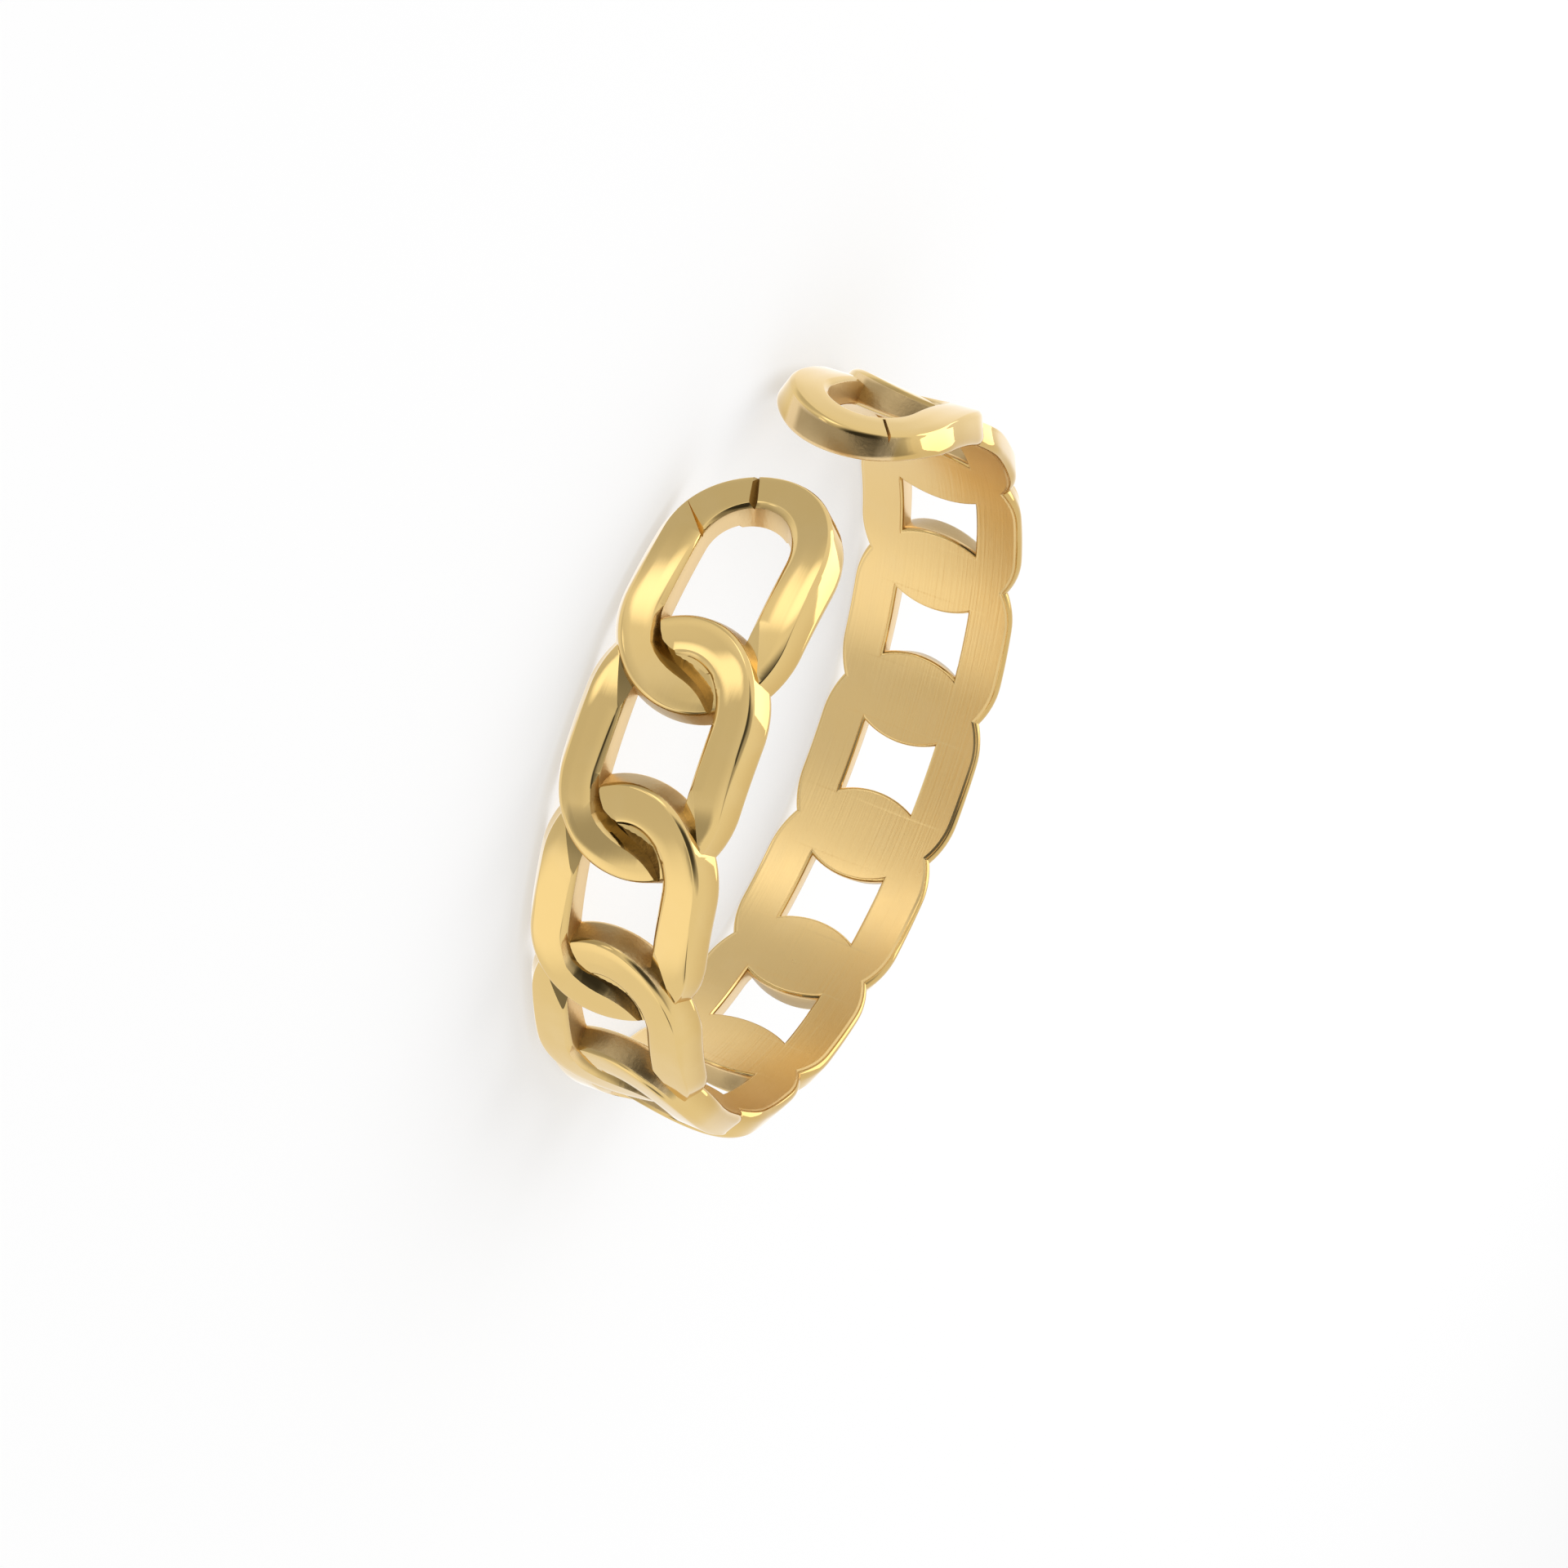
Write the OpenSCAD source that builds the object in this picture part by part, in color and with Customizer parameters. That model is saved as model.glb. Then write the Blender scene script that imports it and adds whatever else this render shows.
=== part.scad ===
// Open chain link ring, cast in one piece.
// A row of oval links follows the finger hole. Each link laps over one side of its
// neighbour and dips under the other, and all are solid metal where they meet.
// The finger hole's axis is Z, its middle is the origin, and the gap faces +X.

/* [Finger hole] */
// Diameter of the finger hole
bore_d = 17; // [15:0.1:21]
// Gap between the two free ends, measured along the finger hole
end_gap = 1.8; // [0.6:0.1:5]
// How much the finger hole widens at its two rims, on the radius
rim_flare = 0.26; // [0.02:0.02:0.4]
// How far in from the edge of the band the flare starts
rim_flare_w = 0.4; // [0.2:0.05:0.8]

/* [Links] */
// Number of links
link_count = 13; // [11:1:15]
// How far two neighbouring links lap, measured along the finger hole
lap = 2.55; // [2.2:0.05:2.6]
// Width of a link, which is the width of the band
link_w = 4.56; // [4:0.02:5.4]
// Width of a link's two long sides where they meet the finger hole
side_w = 1.25; // [1:0.05:1.5]
// Width of a link's two round ends where they meet the finger hole
end_w = 1.05; // [0.85:0.05:1.2]
// Height of a link above the finger hole
link_h = 0.72; // [0.6:0.02:1.2]
// How far the outer walls lean in over the height of a link's long sides
side_lean = 0.34; // [0.02:0.02:0.5]
// How far the outer walls lean in over the height of a link's round ends
end_lean = 0.1; // [0.02:0.02:0.3]
// How far the walls of the hole lean out over the height of a link
hole_lean = 0.1; // [0.02:0.02:0.2]
// Turn of a link's outer face, which lifts it over one neighbour and under the other
face_turn = 24; // [5:1:32]

/* [Pads where links meet] */
// Height of the metal that closes the sliver between two holes
pad_h = 0.5; // [0.3:0.05:0.55]
// Depth of the S-shaped groove across a pad
groove_depth = 0.24; // [0.1:0.02:0.3]
// Width of the groove's bevel on the link that lies over
over_bevel_w = 0.3; // [0.1:0.02:0.4]
// Width of the groove's bevel on the link that lies under
under_bevel_w = 0.14; // [0.06:0.02:0.24]

/* [Free ends] */
// Depth of the creases across a free end
crease_depth = 0.2; // [0.1:0.02:0.3]
// Width of the creases across a free end
crease_w = 0.3; // [0.1:0.02:0.4]

/* [Hidden] */
$fn = 96;

bore_r = bore_d / 2;
top_r = bore_r + link_h;
// The links share what is left of the finger hole's girth once one lap and the gap are taken off
pitch = (PI * bore_d - end_gap - lap) / link_count;
pitch_a = pitch / bore_r * 180 / PI;
link_a = (pitch + lap) / bore_r * 180 / PI;
gap_a = end_gap / bore_r * 180 / PI;

// Half sizes of a link and of its hole, straight across
half_l = bore_r * sin(link_a / 2);
half_w = link_w / 2;
hole_half_l = half_l - end_w;
hole_half_w = half_w - side_w;
// Distance from the link's middle to the centres of its round ends and of its hole's round ends
end_x = half_l - half_w;
hole_end_x = hole_half_l - hole_half_w;

// A link's blank starts inside the finger hole and ends above its outer face
spare = 0.3;
foot_r = bore_r * cos(link_a / 2) - spare;
blank_h = top_r + spare - foot_r;

// A pad's post is kept inside the two link ends that meet on it
pad_r = min(hole_half_w, lap / 2);

// A groove's floor follows the links' outer face down from the hole's side to its tip
groove_rise = 3;
groove_top = sqrt(pow(top_r, 2) - pow(hole_end_x, 2)) - groove_depth;
groove_tip = sqrt(pow(top_r, 2) - pow(hole_half_l, 2)) - groove_depth;
groove_tilt = atan((groove_top - groove_tip) / hole_half_w);
groove_sweep = 100;
// The bevel on the link that lies over runs out along its side, up to the hole's other end
bevel_run = 2 * hole_end_x;
bevel_tilt = atan(groove_depth / bevel_run);

// Creases of a free end, the inner one to the outer one.
// Columns: angle from the end's tip to the crease, direction in which the crease runs
ANGLE = 0;
DIRECTION = 1;
creases = [
    [19, 23],
    [76, 47],
];

// Turns a shape drawn lying flat so that it stands on the finger hole:
// its x runs round the ring, its y along the ring's axis and its z outwards
module stand() {
    rotate([90, 0, 90]) children();
}

// Places a shape at each link, from the first to the last
module at_link(number) {
    rotate([0, 0, gap_a / 2 + link_a / 2 + number * pitch_a]) children();
}

// Oval outline, long in x
module oval(centre_x, half_size) {
    for (side = [-1, 1]) {
        translate([side * centre_x, 0]) circle(half_size);
    }
    square([2 * centre_x, 2 * half_size], center = true);
}

// Oval post with walls that lean in or out and have their stated size at the finger hole:
// two cones and a straight bar between them
module leaning_oval(centre_x, half_size, lean) {
    foot = half_size + lean / link_h * (bore_r - foot_r);
    head = foot - lean / link_h * blank_h;
    for (side = [-1, 1]) {
        translate([side * centre_x, 0, 0]) cylinder(h = blank_h, r1 = foot, r2 = head);
    }
    stand() translate([0, 0, -centre_x]) linear_extrude(2 * centre_x)
        polygon([[-foot, 0], [foot, 0], [head, blank_h], [-head, blank_h]]);
}

// One link, still solid below the finger hole's wall
module link() {
    intersection() {
        translate([foot_r, 0, 0]) stand() difference() {
            intersection() {
                linear_extrude(blank_h) oval(end_x, half_w);
                leaning_oval(end_x + side_lean - end_lean, half_w, side_lean);
            }
            leaning_oval(hole_end_x, hole_half_w, -hole_lean);
        }
        rotate([face_turn, 0, 0]) cylinder(h = 3 * link_w, r = top_r, center = true);
    }
}

// Metal under the groove, half a pitch on from a link
module pad() {
    rotate([0, 0, pitch_a / 2]) stand() cylinder(h = bore_r + pad_h, r = pad_r);
}

// Cross-section of the S-shaped groove
module groove_outline() {
    polygon([
        [hole_half_w, 0],
        [hole_half_w + groove_rise * over_bevel_w, groove_rise * groove_depth],
        [hole_half_w - groove_rise * under_bevel_w, groove_rise * groove_depth],
    ]);
}

// Half of the S-shaped groove: along the hole's side and round its tip in a link's far end
module groove() {
    stand() translate([hole_end_x, 0, groove_top]) {
        rotate([0, groove_tilt, 0]) rotate([0, 0, -90])
            rotate_extrude(angle = groove_sweep) groove_outline();
        rotate([0, bevel_tilt, 0]) translate([-bevel_run, 0, 0]) stand()
            linear_extrude(bevel_run) mirror([1, 0]) groove_outline();
    }
}

// One crease across the far end of a link
module crease(row) {
    middle = (half_w + hole_half_w) / 2;
    x = end_x + middle * cos(row[ANGLE]);
    y = middle * sin(row[ANGLE]);
    rotate([0, 0, asin(x / top_r)]) translate([top_r, 0, y]) rotate([row[DIRECTION], 0, 0])
        rotate([90, 0, 0]) linear_extrude(2 * side_w, center = true)
        polygon([[-crease_depth, 0], [crease_depth, crease_w], [crease_depth, -crease_w]]);
}

// Finger hole with its two flared rims. Its seam is turned onto a pad, clear of the openings
module finger_hole() {
    rotate([0, 0, 90]) cylinder(h = 2 * link_w, r = bore_r, center = true);
    for (side = [0, 1]) {
        mirror([0, 0, side]) translate([0, 0, half_w - rim_flare_w])
            cylinder(h = 2 * rim_flare_w, r1 = bore_r, r2 = bore_r + 2 * rim_flare);
    }
}

module link_band() {
    color([0.86, 0.72, 0.42]) difference() {
        union() {
            for (number = [0 : link_count - 1]) at_link(number) link();
            for (number = [0 : link_count - 2]) at_link(number) pad();
        }
        finger_hole();
        for (number = [0 : link_count - 2]) {
            at_link(number) groove();
            at_link(number + 1) rotate([180, 0, 0]) groove();
        }
        for (row = creases) {
            at_link(link_count - 1) crease(row);
            at_link(0) rotate([180, 0, 0]) crease(row);
        }
    }
}

link_band();
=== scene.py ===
# Open chain link ring in polished gold tone metal: model, finish, light and camera
import math

import bpy
from mathutils import Matrix, Vector


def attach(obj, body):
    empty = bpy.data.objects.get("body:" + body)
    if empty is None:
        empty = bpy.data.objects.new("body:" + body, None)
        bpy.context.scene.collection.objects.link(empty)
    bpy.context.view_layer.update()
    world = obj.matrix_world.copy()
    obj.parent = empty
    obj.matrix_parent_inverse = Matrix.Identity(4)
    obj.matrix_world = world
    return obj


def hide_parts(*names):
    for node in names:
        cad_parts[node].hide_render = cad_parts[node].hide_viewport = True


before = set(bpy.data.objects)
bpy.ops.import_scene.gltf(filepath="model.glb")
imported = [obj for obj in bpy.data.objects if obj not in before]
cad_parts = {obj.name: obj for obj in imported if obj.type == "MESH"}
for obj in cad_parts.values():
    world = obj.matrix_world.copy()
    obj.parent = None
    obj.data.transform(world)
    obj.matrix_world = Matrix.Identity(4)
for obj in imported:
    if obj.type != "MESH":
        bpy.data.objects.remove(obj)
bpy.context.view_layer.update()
mm = 0.001    # the ring is modelled in mm and scaled at the end
near = 0.01   # mm, how close to a place a point counts as being there
print("stage: frame loaded")


def pickOnly(piece):
    if bpy.context.object and bpy.context.object.mode != "OBJECT":
        bpy.ops.object.mode_set(mode="OBJECT")
    bpy.ops.object.select_all(action="DESELECT")
    piece.select_set(True)
    bpy.context.view_layer.objects.active = piece


def settle(piece):  # puts the piece's place, turn and scale into its mesh
    pickOnly(piece)
    bpy.ops.object.transform_apply(location=True, rotation=True, scale=True)
    return piece


def takeNew(name):  # the primitive that was just added
    piece = bpy.context.object
    piece.name = name
    return settle(piece)


def select(piece, kind, wanted):  # kind is VERT, EDGE or FACE, and the piece is left in edit mode
    bpy.ops.object.mode_set(mode="EDIT")
    bpy.ops.mesh.select_mode(type=kind)
    bpy.ops.mesh.select_all(action="DESELECT")
    bpy.ops.object.mode_set(mode="OBJECT")
    data = piece.data
    for part in {"VERT": data.vertices, "EDGE": data.edges, "FACE": data.polygons}[kind]:
        part.select = bool(wanted(part))
    bpy.ops.object.mode_set(mode="EDIT")


def applyModifier(piece, kind, **values):
    pickOnly(piece)
    modifier = piece.modifiers.new(kind.lower(), kind)
    for name, value in values.items():
        setattr(modifier, name, value)
    bpy.ops.object.modifier_apply(modifier=modifier.name)


def bevelEdges(piece, width, segments, shareOf):  # shareOf gives each edge its share of the width
    weights = piece.data.attributes.new("bevel_weight_edge", "FLOAT", "EDGE")
    points = piece.data.vertices
    for edge in piece.data.edges:
        weights.data[edge.index].value = shareOf(*(points[i].co for i in edge.vertices))
    applyModifier(piece, "BEVEL", width=width, segments=segments, limit_method="WEIGHT",
                  use_clamp_overlap=False)
    piece.data.attributes.remove(piece.data.attributes["bevel_weight_edge"])


def joinPieces(pieces):
    pickOnly(pieces[0])
    if len(pieces) > 1:
        for piece in pieces[1:]:
            piece.select_set(True)
        bpy.ops.object.join()
    return pieces[0]


def copyPiece(piece, name):
    pickOnly(piece)
    bpy.ops.object.duplicate(linked=False)
    twin = bpy.context.object
    twin.name = name
    return twin


def removePiece(piece):
    pickOnly(piece)
    bpy.ops.object.delete()


def combine(piece, other, operation):
    applyModifier(piece, "BOOLEAN", object=other, operation=operation, solver="MANIFOLD")
    removePiece(other)


def smoothStep(value, low, high):
    share = min(max((value - low) / (high - low), 0), 1)
    return share * share * (3 - 2 * share)


band = {  # lengths in mm, angles in degrees
    "holeRadius": 8.5,
    "holeSides": 720,
    "holeDepth": 8,         # of the post that cuts the finger hole
    "endGap": 1.8,          # between the free ends, along the finger hole
    "lap": 2.55,            # how far two neighbouring links lap
    "linkCount": 13,
    "smoothAngle": 21,      # edges flatter than this are shaded smooth
    "wallSlack": 0.001,     # how close to the hole's radius a point of its wall lies
}
band["pitch"] = (2 * math.pi * band["holeRadius"] - band["endGap"] - band["lap"]) / band["linkCount"]
band["pitchTurn"] = math.degrees(band["pitch"] / band["holeRadius"])
band["firstTurn"] = math.degrees((band["endGap"] + band["pitch"] + band["lap"]) / 2 / band["holeRadius"])


def turnPiece(piece, degrees):  # round Z, which is the finger hole's axis once a piece is bent
    piece.rotation_euler.z = math.radians(degrees)
    return settle(piece)


def bendPiece(piece):  # lays a flat piece round the finger hole, with its x 0 on +X
    piece.location.y = -link["height"]
    piece.rotation_euler.x = math.pi / 2
    settle(piece)
    length = max(p.co.x for p in piece.data.vertices) - min(p.co.x for p in piece.data.vertices)
    applyModifier(piece, "SIMPLE_DEFORM", deform_method="BEND", deform_axis="Z",
                  angle=length / band["holeRadius"])
    piece.rotation_euler.z = math.pi / 2
    piece.location.x = band["holeRadius"]
    return settle(piece)


link = {  # a link before it is twisted and bent: x along the band, y across it, top at z 0, in mm
    "height": 0.72,
    "spare": 0.004,         # how far the link's underside lies inside the finger hole
    "foot": 0.5,            # metal added below the underside, for the finger hole to cut away
    "halfLength": 3.12,
    # Loops from the hole's foot over the outer face to the outer foot: half width, half length, drop, turn
    "loops": [
        (1.0, 1.97, 0.72, 0),
        (1.055, 2.03, 0.1, 0),
        (1.15, 2.14, 0, 2.5),
        (1.42, 2.4, 0, 0),
        (1.68, 2.65, 0, 0),
        (1.93, 2.87, 0, -2),
        (1.99, 2.94, 0.08, 0),
        (2.35, 3.12, 0.72, 0),
    ],
    "arcSteps": 48,
    "barSteps": 10,
    "weld": 0.002,          # points closer than this become one
    "twist": -2.31,         # degrees for each mm along x
    "rimRound": 0.34,       # at the finger hole's two rims
    "rimSegments": 8,
    "rimGrows": (1.05, 1.75),    # y over which the opening's round grows to the rim's
    "outerSlack": 0.05,     # the outer foot is at most this far inside its loop's half width
    "openingRound": 0.12,   # at an opening's foot
    "openingSegments": 4,
    "holeSlack": 0.15,      # the hole's foot is at most this far outside its loop's half width
    # Small rounds on the edges round the outer face: loop and width
    "edgeRounds": {
        "holeEdge": (1, 0.02),
        "faceInner": (2, 0.03),
        "faceOuter": (5, 0.03),
        "outerEdge": (6, 0.03),
    },
    "edgeSegments": 2,
}
link["footZ"] = -link["height"] - link["spare"]
link["endX"] = link["halfLength"] - link["loops"][-1][0]   # middle of a round end


def reach(place):  # distance from the line between the middles of the two round ends
    return math.hypot(max(abs(place.x) - link["endX"], 0), place.y)


def modelLink():
    loops, endX, footZ = link["loops"], link["endX"], link["footZ"]
    innerFoot, outerFoot = loops[0][0], loops[-1][0]
    middle = (-endX, (innerFoot + outerFoot) / 2, footZ / 2)
    bpy.ops.mesh.primitive_plane_add(size=1, rotation=(0, math.pi / 2, 0), location=middle)
    piece = takeNew("linkMaster")
    bpy.ops.object.mode_set(mode="EDIT")
    bpy.ops.mesh.select_all(action="SELECT")
    bpy.ops.transform.resize(value=(1, outerFoot - innerFoot, -footZ), center_override=middle)

    # The cross-section: the top edge is cut where the loops in between pass
    select(piece, "VERT", lambda p: p.co.z > -near)
    bpy.ops.mesh.subdivide(number_cuts=len(loops) - 4)
    bpy.ops.object.mode_set(mode="OBJECT")
    crossing = sorted((p.co.y, p.index) for p in piece.data.vertices if p.co.z > -near)
    for (y, index), loop in zip(crossing, loops[1:-1]):
        select(piece, "VERT", lambda p: p.index == index)
        bpy.ops.transform.translate(value=(0, loop[0] - y, 0))
    bpy.ops.mesh.select_mode(type="FACE")
    bpy.ops.mesh.select_all(action="SELECT")
    bpy.ops.mesh.delete(type="ONLY_FACE")

    # The cross-section goes round the oval: a bar, an arc, a bar and an arc
    bpy.ops.mesh.select_mode(type="VERT")
    bpy.ops.mesh.select_all(action="SELECT")
    for side in (1, -1):
        step = side * 2 * endX / link["barSteps"]
        for number in range(link["barSteps"]):
            bpy.ops.mesh.extrude_region_move(TRANSFORM_OT_translate={"value": (step, 0, 0)})
        bpy.ops.mesh.spin(steps=link["arcSteps"], angle=math.pi, center=(side * endX, 0, 0), axis=(0, 0, 1))
    bpy.ops.mesh.select_all(action="SELECT")
    bpy.ops.mesh.remove_doubles(threshold=link["weld"])
    bpy.ops.mesh.normals_make_consistent(inside=False)
    bpy.ops.object.mode_set(mode="OBJECT")

    # Each loop is stretched to its own reach, and the edges of the outer face are turned askew
    members = [[p.index for p in piece.data.vertices if abs(reach(p.co) - loop[0]) < near] for loop in loops]
    for (width, tip, drop, turn), chosen in zip(loops, map(set, members)):
        select(piece, "VERT", lambda p: p.index in chosen)
        bpy.ops.transform.resize(value=(tip / (endX + width), 1, 1), center_override=(0, 0, 0))
        if turn:
            bpy.ops.transform.rotate(value=math.radians(turn), orient_axis="Z", center_override=(0, 0, 0))
        if 0 < drop < link["height"]:
            bpy.ops.transform.translate(value=(0, 0, -drop))
    bpy.ops.object.mode_set(mode="OBJECT")

    # The outer face is twisted, so that each end lies over one neighbour and under the other
    groups = {"face": [p.index for p in piece.data.vertices if p.co.z > footZ / 2]}
    for name, (number, _) in link["edgeRounds"].items():
        groups[name] = members[number]
    for name, chosen in groups.items():
        piece.vertex_groups.new(name=name).add(chosen, 1.0, "REPLACE")
    applyModifier(piece, "SIMPLE_DEFORM", deform_method="TWIST", deform_axis="X",
                  angle=math.radians(link["twist"]) * 2 * link["halfLength"], vertex_group="face")
    return piece


def roundLink(piece):
    under = link["footZ"] + near
    holeFoot = link["loops"][0][0] + link["holeSlack"]
    outerFoot = link["loops"][-1][0] - link["outerSlack"]

    def rimShare(a, b):
        if max(a.z, b.z) > under or min(reach(a), reach(b)) < outerFoot:
            return 0.0
        small = link["openingRound"] / link["rimRound"]
        return small + (1 - small) * smoothStep(abs(a.y + b.y) / 2, *link["rimGrows"])

    def holeShare(a, b):
        return float(max(a.z, b.z) < under and max(reach(a), reach(b)) < holeFoot)

    bevelEdges(piece, link["rimRound"], link["rimSegments"], rimShare)
    bevelEdges(piece, link["openingRound"], link["openingSegments"], holeShare)
    for name, (_, width) in link["edgeRounds"].items():
        applyModifier(piece, "BEVEL", width=width, segments=link["edgeSegments"], limit_method="VGROUP",
                      vertex_group=name, use_clamp_overlap=False)
    select(piece, "FACE", lambda face: face.normal.z < near - 1 and face.center.z < under)
    bpy.ops.mesh.extrude_region_move(TRANSFORM_OT_translate={"value": (0, 0, -link["foot"])})
    bpy.ops.object.mode_set(mode="OBJECT")
    return piece


dip = {  # facet on the end of a side that runs under the next link, in mm
    "corners": [(0.2, 1.02, 0.0), (2.05, 1.96, 0.07), (1.4, 0.82, 0.34)],   # x, y and drop
    "height": 0.6,          # of the post that cuts it, above the top of the link
}


def modelDip():  # a three-sided post whose foot is the facet
    half = 1
    bpy.ops.mesh.primitive_cylinder_add(vertices=3, radius=1, depth=2 * half)
    piece = takeNew("dipCutter")
    corners = dip["corners"]
    middle = [sum(corner[axis] for corner in corners) / 3 for axis in (0, 1)]
    corners = sorted(corners, key=lambda c: math.atan2(c[1] - middle[1], c[0] - middle[0]))
    around = sorted((p.co.xy.to_tuple() for p in piece.data.vertices if p.co.z < 0),
                    key=lambda c: math.atan2(c[1], c[0]))
    for (x, y), (cornerX, cornerY, drop) in zip(around, corners):
        for low, rise in ((True, half - drop), (False, dip["height"] - half)):
            select(piece, "VERT", lambda p: math.dist(p.co.xy, (x, y)) < near and (p.co.z < 0) == low)
            bpy.ops.transform.translate(value=(cornerX - x, cornerY - y, rise))
    bpy.ops.object.mode_set(mode="OBJECT")
    return piece


def dippedLink(blank, turns):  # a link with its dips, bent round the finger hole
    piece = copyPiece(blank, "linkMaster")
    for turn in turns:
        combine(piece, turnPiece(modelDip(), turn), "DIFFERENCE")
    return bendPiece(piece)


pad = {  # metal that closes the sliver between two links' holes, in mm
    "radius": 0.64,
    "drop": 0.08,           # its top below the top of the links
    "sides": 48,
}


def modelPad():
    depth = link["height"] - pad["drop"] + link["foot"]
    bpy.ops.mesh.primitive_cylinder_add(vertices=pad["sides"], radius=pad["radius"], depth=depth,
                                        location=(band["pitch"] / 2, 0, -pad["drop"] - depth / 2))
    return bendPiece(takeNew("padMaster"))


groove = {  # rows: x and y of the floor, half width on its left and on its right, depth, all in mm
    "rows": [               # S-shaped, from one link's hole round its tip to the next link's hole
        (0.9, -1.07, 0.02, 0.03, 0.05),
        (1.08, -1.065, 0.05, 0.05, 0.12),
        (1.25, -1.035, 0.08, 0.08, 0.18),
        (1.64, -0.84, 0.12, 0.13, 0.25),
        (1.87, -0.48, 0.19, 0.17, 0.28),
        (2.02, -0.13, 0.3, 0.17, 0.3),
        (2.14, 0.16, 0.4, 0.14, 0.3),
        (2.27, 0.42, 0.42, 0.12, 0.29),
        (2.44, 0.64, 0.37, 0.1, 0.26),
        (2.64, 0.83, 0.26, 0.09, 0.19),
        (2.88, 1.05, 0.06, 0.05, 0.1),
    ],
    "creases": [            # across the free ends: the link, its turn in degrees and the crease's rows
        (0, 180, [(1.8, 0.24, 0.1, 0.05, 0.14), (2.1, 0.37, 0.17, 0.07, 0.2),
                  (2.6, 0.59, 0.17, 0.07, 0.2), (3.2, 0.85, 0.2, 0.08, 0.24)]),
        (0, 180, [(0.75, 0.9, 0.06, 0.18, 0.2), (0.95, 1.12, 0.05, 0.13, 0.17),
                  (1.25, 1.45, 0.04, 0.07, 0.13), (1.8, 2.05, 0.03, 0.04, 0.12)]),
        (band["linkCount"] - 1, 0, [(1.9, 0.75, 0.06, 0.05, 0.15), (2.45, 1.15, 0.1, 0.06, 0.24),
                                    (2.85, 1.5, 0.18, 0.08, 0.4), (3.2, 1.78, 0.24, 0.1, 0.52)]),
    ],
    "steps": 2,             # sections of the swept bar for each row
    "span": 2,              # sections before and after that give its direction
    "rise": 1.3,            # height of the bar's lips above its floor, as a share of the depth
}


def smoothRows(rows, steps):  # adds rows between the given ones on one smooth curve
    found = []
    for number in range(len(rows) - 1):
        around = [rows[min(max(number + i, 0), len(rows) - 1)] for i in (-1, 0, 1, 2)]
        for step in range(steps):
            t = step / steps
            found.append(tuple(0.5 * (2 * b + (c - a) * t + (2 * a - 5 * b + 4 * c - d) * t * t
                                      + (3 * b - a - 3 * c + d) * t ** 3) for a, b, c, d in zip(*around)))
    return found + [rows[-1]]


def modelGroove(rows):  # a V-shaped bar swept along the groove's floor
    floor = smoothRows(rows, groove["steps"])
    span, rise = groove["span"], groove["rise"]

    def corners(number):
        x, y, left, right, depth = floor[number]
        before, after = floor[max(number - span, 0)], floor[min(number + span, len(floor) - 1)]
        along = Vector((after[0] - before[0], after[1] - before[1], 0)).normalized()
        across = Vector((along.y, -along.x, 0))
        low = Vector((x, y, -depth))
        up = Vector((0, 0, depth * rise))
        return [low - across * left * rise + up, low, low + across * right * rise + up]

    bpy.ops.mesh.primitive_circle_add(vertices=3, radius=1, fill_type="NGON")
    piece = takeNew("grooveMaster")
    ends = [0, 1, 2]
    for number in range(len(floor)):
        if number:
            select(piece, "VERT", lambda p: p.index in ends)
            bpy.ops.mesh.extrude_region_move(TRANSFORM_OT_translate={"value": (0, 0, 0)})
            bpy.ops.object.mode_set(mode="OBJECT")
            fresh = [p.index for p in piece.data.vertices if p.select]
            old = [piece.data.vertices[i].co.copy() for i in ends]
            ends = [min(fresh, key=lambda i: (piece.data.vertices[i].co - co).length) for co in old]
        for index, target in zip(ends, corners(number)):
            shift = target - piece.data.vertices[index].co
            select(piece, "VERT", lambda p: p.index == index)
            bpy.ops.transform.translate(value=shift)
            bpy.ops.object.mode_set(mode="OBJECT")
    bpy.ops.object.mode_set(mode="EDIT")
    bpy.ops.mesh.select_all(action="SELECT")
    bpy.ops.mesh.quads_convert_to_tris()
    bpy.ops.mesh.normals_make_consistent(inside=False)
    bpy.ops.object.mode_set(mode="OBJECT")
    return piece


def repeatPiece(master, name, numbers):  # copies at the given links, joined into one object
    copies = []
    for i, number in enumerate(numbers):
        twin = copyPiece(master, "%s%d" % (name, i))
        copies.append(turnPiece(twin, band["firstTurn"] + number * band["pitchTurn"]))
    return joinPieces(copies)


def modelBand():
    last = band["linkCount"] - 1
    blank = roundLink(modelLink())
    linkMaster = dippedLink(blank, (0, 180))
    firstLink, lastLink = dippedLink(blank, (0,)), dippedLink(blank, (180,))   # a free end has no dip
    padMaster = modelPad()
    grooveMaster = bendPiece(modelGroove(groove["rows"]))
    print("stage: masters of link, pad and groove")
    piece = joinPieces([repeatPiece(linkMaster, "evenLink", range(2, last, 2)),
                        repeatPiece(firstLink, "firstLink", [0]), repeatPiece(lastLink, "lastLink", [last])])
    combine(piece, repeatPiece(linkMaster, "oddLink", range(1, last + 1, 2)), "UNION")
    combine(piece, repeatPiece(padMaster, "pad", range(last)), "UNION")
    cutters = [repeatPiece(grooveMaster, "groove", range(last))]
    for number, turn, rows in groove["creases"]:
        creaseMaster = bendPiece(turnPiece(modelGroove(rows), turn))
        cutters.append(repeatPiece(creaseMaster, "crease", [number]))
        removePiece(creaseMaster)
    combine(piece, joinPieces(cutters), "DIFFERENCE")
    for master in (blank, linkMaster, firstLink, lastLink, padMaster, grooveMaster):
        removePiece(master)
    bpy.ops.mesh.primitive_cylinder_add(vertices=band["holeSides"], radius=band["holeRadius"],
                                        depth=band["holeDepth"])
    combine(piece, bpy.context.object, "DIFFERENCE")
    piece.name = "chainBand"
    print("stage: band joined", len(piece.data.vertices), "points")
    return piece


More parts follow.
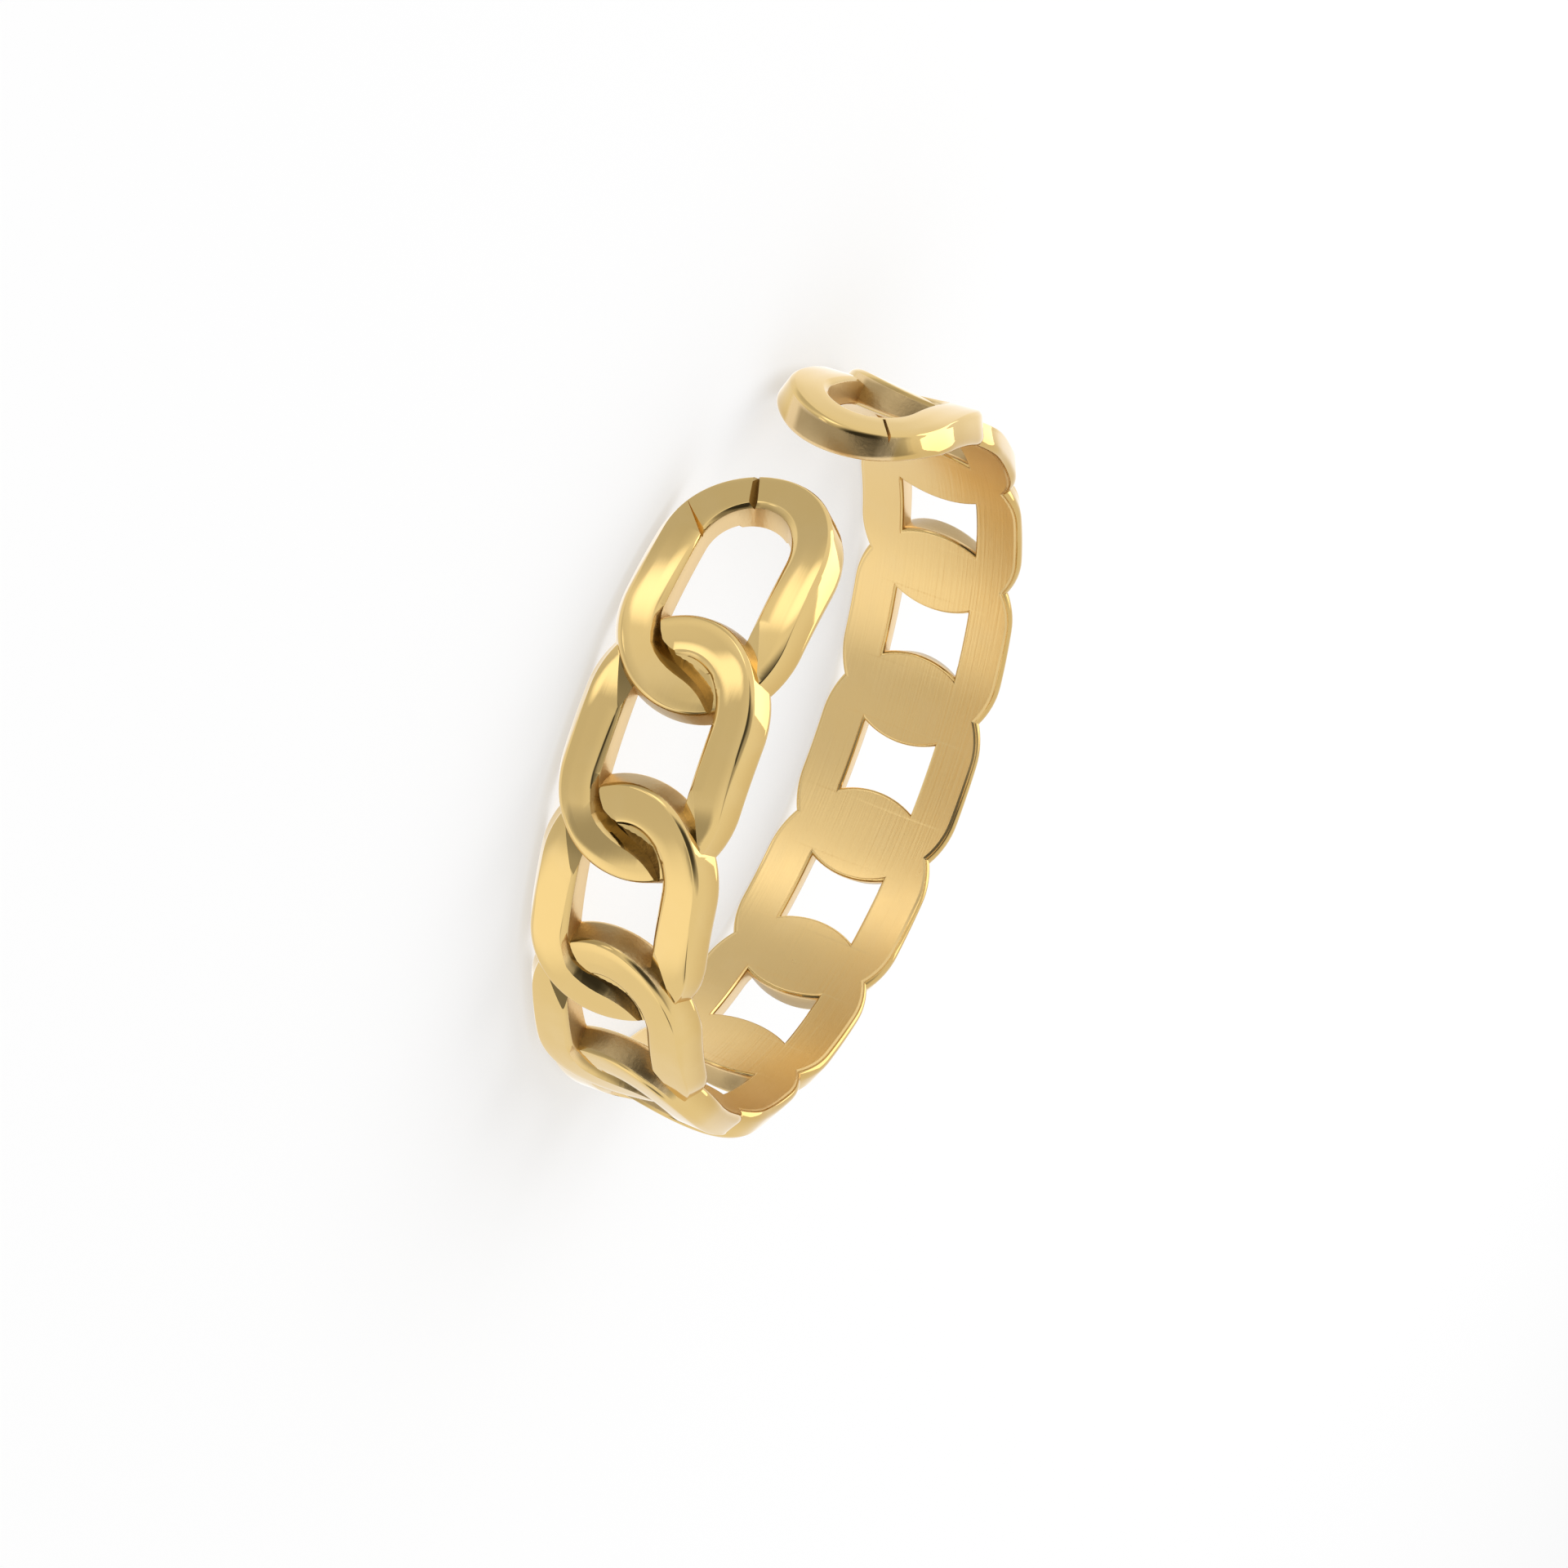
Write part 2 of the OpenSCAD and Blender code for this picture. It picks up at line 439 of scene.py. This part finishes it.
def sharpenHoleEdge(piece):  # the finger hole's wall keeps its own shading up to its rounded edge
    onWall = [abs(math.hypot(p.co.x, p.co.y) / mm - band["holeRadius"]) < band["wallSlack"]
              for p in piece.data.vertices]
    sides = {}
    for face in piece.data.polygons:
        wall = all(onWall[i] for i in face.vertices)
        for key in face.edge_keys:
            sides.setdefault(key, set()).add(wall)
    select(piece, "EDGE", lambda edge: len(sides[edge.key]) == 2)
    bpy.ops.mesh.mark_sharp()
    bpy.ops.object.mode_set(mode="OBJECT")


chainBand = modelBand()
chainBand.scale = (mm, mm, mm)
settle(chainBand)
bpy.ops.object.shade_smooth_by_angle(angle=math.radians(band["smoothAngle"]))
sharpenHoleEdge(chainBand)
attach(chainBand, "root")
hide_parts("link_band")


finish = {  # looks of the metal, lengths in mm
    "gold": (0.72, 0.515, 0.208, 1),
    "lowShadeGold": (0.56, 0.37, 0.125, 1),      # painted shade, low down near the finger hole
    "wallLightGold": (0.84, 0.63, 0.35, 1),       # painted light: the openings' walls are made paler, as if they caught more light
    "grooveShadeGold": (0.22, 0.14, 0.045, 1),    # painted shade on the slopes of the S-shaped grooves
    "boreLightGold": (0.78, 0.56, 0.245, 1),      # painted light: the finger hole's wall is made paler, as if it caught more light; its brushing is in the roughness and bumps
    "wornGold": (0.8, 0.62, 0.33, 1),        # where hands have rubbed
    "lowShadeShare": 0.7,
    "wallLightShare": 0.8,
    "shadedShare": 0.6,
    "wornShare": 0.16,
    # Roughness of the outer faces, the finger hole and the openings' walls, and how much it varies
    "polished": 0.055,
    "satin": 0.3,
    "cast": 0.36,
    "roughSpread": 0.12,
    # Where a mask starts and where it is full. Facing is 1 outwards and -1 on the finger hole's wall
    "boreFacing": (-0.75, -0.93),
    "wallFacing": (0.55, 0.35),
    "wallAcross": (1.45, 1.3),
    "deepRadius": (9.15, 8.6),
    "grooveFacing": (0.93, 0.72),
    "grooveSteep": (0.1, 0.3),
    "grooveAcross": (1.15, 0.95),
    "grooveRadius": (9.24, 9.12),
    "wornAt": (0.45, 0.75),
    # Marks in the surface: size, detail, stretch (along, across and out of the band), height
    "waves": (2.4, 1.0, (1, 1, 1), 0.06),
    "lines": (0.5, 3.0, (0.25, 5, 1), 0.0005),
    "brushing": (0.35, 3.0, (0.12, 6, 0.3), 0.0045),
    "grain": (0.09, 2.5, (1, 1, 1), 0.006),
    "rubSize": 1.1,
    "rubDetail": 4.0,
    "boreCalm": 0.85,       # share of the waves that brushing takes off the finger hole's wall
}


def newNodes(owner):  # owner is a material or the world
    owner.use_nodes = True
    tree = owner.node_tree
    tree.nodes.clear()
    return tree, tree.nodes, tree.links


def newGroup(name, inputs, outputs):
    tree = bpy.data.node_groups.new(name, "ShaderNodeTree")
    for way, sockets in (("INPUT", inputs), ("OUTPUT", outputs)):
        for label, kind in sockets.items():
            tree.interface.new_socket(name=label, in_out=way, socket_type=kind)
    return tree, tree.nodes.new("NodeGroupInput"), tree.nodes.new("NodeGroupOutput")


def addMath(tree, operation, first, second=None, third=None):
    node = tree.nodes.new("ShaderNodeMath")
    node.operation = operation
    for socket, value in zip(node.inputs, (first, second, third)):
        if isinstance(value, (int, float)):
            socket.default_value = value
        elif value is not None:
            tree.links.new(value, socket)
    return node.outputs[0]


def multiply(tree, first, second):
    return addMath(tree, "MULTIPLY", first, second)


def add(tree, first, second):
    return addMath(tree, "ADD", first, second)


def addRange(tree, value, low, high):  # 0 at low, 1 at high, with a soft start and end
    node = tree.nodes.new("ShaderNodeMapRange")
    node.interpolation_type = "SMOOTHSTEP"
    tree.links.new(value, node.inputs["Value"])
    node.inputs["From Min"].default_value = low
    node.inputs["From Max"].default_value = high
    return node.outputs["Result"]


def addMask(tree, value, name, unit=1):
    low, high = finish[name]
    return addRange(tree, value, low * unit, high * unit)


def addNoise(tree, place, size, detail, stretch=(1, 1, 1)):  # size in mm
    scale = tree.nodes.new("ShaderNodeVectorMath")
    scale.operation = "MULTIPLY"
    scale.inputs[1].default_value = [value / (size * mm) for value in stretch]
    tree.links.new(place, scale.inputs[0])
    noise = tree.nodes.new("ShaderNodeTexNoise")
    noise.inputs["Scale"].default_value = 1
    noise.inputs["Detail"].default_value = detail
    tree.links.new(scale.outputs["Vector"], noise.inputs["Vector"])
    return noise.outputs["Fac"]


def addMix(tree, share, first, second):  # colours, at the Mix node's sockets for colour
    node = tree.nodes.new("ShaderNodeMix")
    node.data_type = "RGBA"
    for socket, value in ((node.inputs[0], share), (node.inputs[6], first), (node.inputs[7], second)):
        if isinstance(value, tuple):
            socket.default_value = value
        else:
            tree.links.new(value, socket)
    return node.outputs[2]


def makeRegions():  # masks of the parts of the band that differ in finish or in painted light and shade, and a place laid out flat
    kind = "NodeSocketFloat"
    tree, _, end = newGroup("bandRegions", {}, {"Bore": kind, "Walls": kind, "Depth": kind, "Groove": kind,
                                                "Around": "NodeSocketVector"})
    place = tree.nodes.new("ShaderNodeTexCoord")
    split = tree.nodes.new("ShaderNodeSeparateXYZ")
    normal = tree.nodes.new("ShaderNodeSeparateXYZ")
    tree.links.new(place.outputs["Object"], split.inputs[0])
    tree.links.new(place.outputs["Normal"], normal.inputs[0])
    x, y, z = split.outputs
    radius = addMath(tree, "SQRT", add(tree, multiply(tree, x, x), multiply(tree, y, y)))
    outward = add(tree, multiply(tree, x, normal.outputs[0]), multiply(tree, y, normal.outputs[1]))
    facing = addMath(tree, "DIVIDE", outward, radius)
    steep = addMath(tree, "ABSOLUTE", facing)
    across = addMath(tree, "ABSOLUTE", z)
    # the grooves' slopes, where shade is painted
    slope = multiply(tree, addMask(tree, facing, "grooveFacing"), addMask(tree, facing, "grooveSteep"))
    slope = multiply(tree, slope, addMask(tree, across, "grooveAcross", mm))
    around = tree.nodes.new("ShaderNodeCombineXYZ")
    along = multiply(tree, addMath(tree, "ARCTAN2", y, x), band["holeRadius"] * mm)
    for value, socket in zip((along, z, radius), around.inputs):
        tree.links.new(value, socket)
    results = {
        "Bore": addMask(tree, facing, "boreFacing"),
        "Walls": multiply(tree, addMask(tree, across, "wallAcross", mm), addMask(tree, steep, "wallFacing")),
        "Depth": addMask(tree, radius, "deepRadius", mm),
        "Groove": multiply(tree, slope, addMask(tree, radius, "grooveRadius", mm)),
        "Around": around.outputs[0],
    }
    for name, value in results.items():
        tree.links.new(value, end.inputs[name])
    return tree


def makeMarks():  # hand polishing: soft waves and fine lines, a brushed finger hole and cast grain
    kind = "NodeSocketFloat"
    tree, start, end = newGroup("handPolish", {"Around": "NodeSocketVector", "Bore": kind, "Walls": kind},
                                {"Height": kind, "Rub": kind})
    place, bore, walls = (start.outputs[name] for name in ("Around", "Bore", "Walls"))

    def marks(name):
        size, detail, stretch, height = finish[name]
        return multiply(tree, addNoise(tree, place, size, detail, stretch), height * mm)

    calm = addMath(tree, "SUBTRACT", 1.0, multiply(tree, bore, finish["boreCalm"]))
    height = add(tree, multiply(tree, marks("waves"), calm), marks("lines"))
    height = add(tree, height, multiply(tree, marks("brushing"), bore))
    height = add(tree, height, multiply(tree, marks("grain"), walls))
    tree.links.new(height, end.inputs["Height"])
    tree.links.new(addNoise(tree, place, finish["rubSize"], finish["rubDetail"]), end.inputs["Rub"])
    return tree


def makeGold():
    material = bpy.data.materials.new("polishedGoldTone")
    tree, nodes, links = newNodes(material)
    out = nodes.new("ShaderNodeOutputMaterial")
    metal = nodes.new("ShaderNodeBsdfPrincipled")
    links.new(metal.outputs["BSDF"], out.inputs["Surface"])
    metal.inputs["Metallic"].default_value = 1.0
    regions, marks = nodes.new("ShaderNodeGroup"), nodes.new("ShaderNodeGroup")
    regions.node_tree, marks.node_tree = makeRegions(), makeMarks()
    for name in ("Around", "Bore", "Walls"):
        links.new(regions.outputs[name], marks.inputs[name])
    bore, walls, depth, shaded = (regions.outputs[name] for name in ("Bore", "Walls", "Depth", "Groove"))
    rub = marks.outputs["Rub"]

    # painted shade: darker low down towards the finger hole, but not on its wall
    lowShadeMask = multiply(tree, depth, addMath(tree, "SUBTRACT", 1.0, bore))
    colour = addMix(tree, multiply(tree, lowShadeMask, finish["lowShadeShare"]), finish["gold"], finish["lowShadeGold"])
    # painted light: paler openings' walls
    colour = addMix(tree, multiply(tree, walls, finish["wallLightShare"]), colour, finish["wallLightGold"])
    # painted shade on the grooves' slopes
    colour = addMix(tree, multiply(tree, shaded, finish["shadedShare"]), colour, finish["grooveShadeGold"])
    # painted light: a paler finger hole wall
    colour = addMix(tree, bore, colour, finish["boreLightGold"])
    worn = multiply(tree, addMask(tree, rub, "wornAt"), finish["wornShare"])
    links.new(addMix(tree, worn, colour, finish["wornGold"]), metal.inputs["Base Color"])

    polished = finish["polished"]
    rough = addMath(tree, "MULTIPLY_ADD", bore, finish["satin"] - polished, polished)
    rough = addMath(tree, "MULTIPLY_ADD", walls, finish["cast"] - polished, rough)
    uneven = addMath(tree, "SUBTRACT", rub, 0.5)
    rough = addMath(tree, "MULTIPLY_ADD", uneven, finish["roughSpread"], rough)
    links.new(rough, metal.inputs["Roughness"])

    bump = nodes.new("ShaderNodeBump")
    bump.inputs["Strength"].default_value = 1.0
    bump.inputs["Distance"].default_value = 1.0
    links.new(marks.outputs["Height"], bump.inputs["Height"])
    links.new(bump.outputs["Normal"], metal.inputs["Normal"])
    return material


chainBand.data.materials.clear()
chainBand.data.materials.append(makeGold())
print("stage: finish")


studio = {  # lengths in metres
    "floorSize": 1.6,
    "paper": 0.42,
    "paperRoughness": 0.9,
    "paperGlow": 0.55,
    "softboxPlace": (0.05, -0.2, 0.2),    # aimed at the middle of the ring
    "softboxSize": 0.24,
    "softboxWatts": 0.25,
    "tent": 1.05,
    # Soft patches on the tent: azimuth and elevation of the middle, inner and outer radius, brightness
    "patches": [
        (60, -40, 15, 45, 0.78),
        (-28, -30, 12, 34, 0.7),
        (112, -20, 8, 24, 1.32),
        (-112, -12, 15, 40, 1.2),
        (50, 58, 8, 32, 0.5),
        (47, 26, 14, 38, 0.07),     # the dark end of the tent, where the camera looks in
        (127, 8, 3, 14, 0.25),
        (8, -13, 3, 14, 1.9),
        (36, -29, 2, 9, 1.7),
        (86, -12, 2, 10, 0.5),
    ],
}


def addFloor(height):  # plain paper, lit a little from below as on a light table
    bpy.ops.mesh.primitive_plane_add(size=studio["floorSize"], location=(0, 0, height))
    floor = bpy.context.object
    floor.name = "studioFloor"
    floor.visible_glossy = False  # the metal mirrors the tent on all sides, as the real ring did
    material = bpy.data.materials.new("palePaper")
    _, nodes, links = newNodes(material)
    out = nodes.new("ShaderNodeOutputMaterial")
    paper = nodes.new("ShaderNodeBsdfPrincipled")
    links.new(paper.outputs["BSDF"], out.inputs["Surface"])
    values = {
        "Base Color": (studio["paper"],) * 3 + (1,),
        "Roughness": studio["paperRoughness"],
        "Specular IOR Level": 0,
        "Emission Color": (1, 1, 1, 1),
        "Emission Strength": studio["paperGlow"],
    }
    for name, value in values.items():
        paper.inputs[name].default_value = value
    floor.data.materials.append(material)


def addSoftbox():
    data = bpy.data.lights.new("rearSoftbox", "AREA")
    data.size = studio["softboxSize"]
    data.energy = studio["softboxWatts"]
    lamp = bpy.data.objects.new("rearSoftbox", data)
    bpy.context.scene.collection.objects.link(lamp)
    lamp.location = studio["softboxPlace"]
    lamp.rotation_euler = Vector(studio["softboxPlace"]).to_track_quat("Z", "Y").to_euler()


def skyDirection(azimuth, elevation):
    azimuth, elevation = math.radians(azimuth), math.radians(elevation)
    flat = math.cos(elevation)
    return flat * math.cos(azimuth), flat * math.sin(azimuth), math.sin(elevation)


def addSurround():  # pale tent all round with soft brighter and darker patches for the metal to mirror
    world = bpy.data.worlds.new("paleTent")
    bpy.context.scene.world = world
    tree, nodes, links = newNodes(world)
    out = nodes.new("ShaderNodeOutputWorld")
    back = nodes.new("ShaderNodeBackground")
    place = nodes.new("ShaderNodeTexCoord")
    light = studio["tent"]
    for azimuth, elevation, inner, outer, value in studio["patches"]:
        toward = nodes.new("ShaderNodeVectorMath")
        toward.operation = "DOT_PRODUCT"
        toward.inputs[1].default_value = skyDirection(azimuth, elevation)
        links.new(place.outputs["Generated"], toward.inputs[0])
        share = addRange(tree, toward.outputs["Value"], math.cos(math.radians(outer)),
                         math.cos(math.radians(inner)))
        light = addMath(tree, "MULTIPLY_ADD", addMath(tree, "SUBTRACT", value, light), share, light)
    links.new(light, back.inputs["Color"])
    links.new(back.outputs["Background"], out.inputs["Surface"])


camera = {  # fitted to the photograph, which is 1920 pixels square; angles in degrees
    "focalLength": 102.13,
    "sensorWidth": 36,
    "azimuth": 46.514,
    "elevation": 17.669,
    "roll": 110.75,                # the photograph shows the ring standing, and here it lies on its side
    "distance": 107.715,           # mm
    "offset": (0.0681, 0.7441),    # mm, the ring's middle from the middle of the picture, right and up
    "nearest": 0.001,              # metres
    "farthest": 10,
}


def addCamera():
    data = bpy.data.cameras.new("photoCamera")
    data.lens = camera["focalLength"]
    data.sensor_width = camera["sensorWidth"]
    data.clip_start, data.clip_end = camera["nearest"], camera["farthest"]
    view = bpy.data.objects.new("photoCamera", data)
    bpy.context.scene.collection.objects.link(view)
    turn = Matrix()
    turns = ((camera["azimuth"] + 90, "Z"), (90 - camera["elevation"], "X"), (camera["roll"], "Z"))
    for angle, axis in turns:
        turn = turn @ Matrix.Rotation(math.radians(angle), 4, axis)
    right, up = camera["offset"]
    view.matrix_world = turn @ Matrix.Translation(Vector((-right, -up, camera["distance"])) * mm)
    bpy.context.scene.camera = view


addFloor(min(p.co.z for p in chainBand.data.vertices))
addSurround()
addSoftbox()
addCamera()
bpy.context.scene.view_settings.view_transform = "Standard"
print("stage: light and camera")
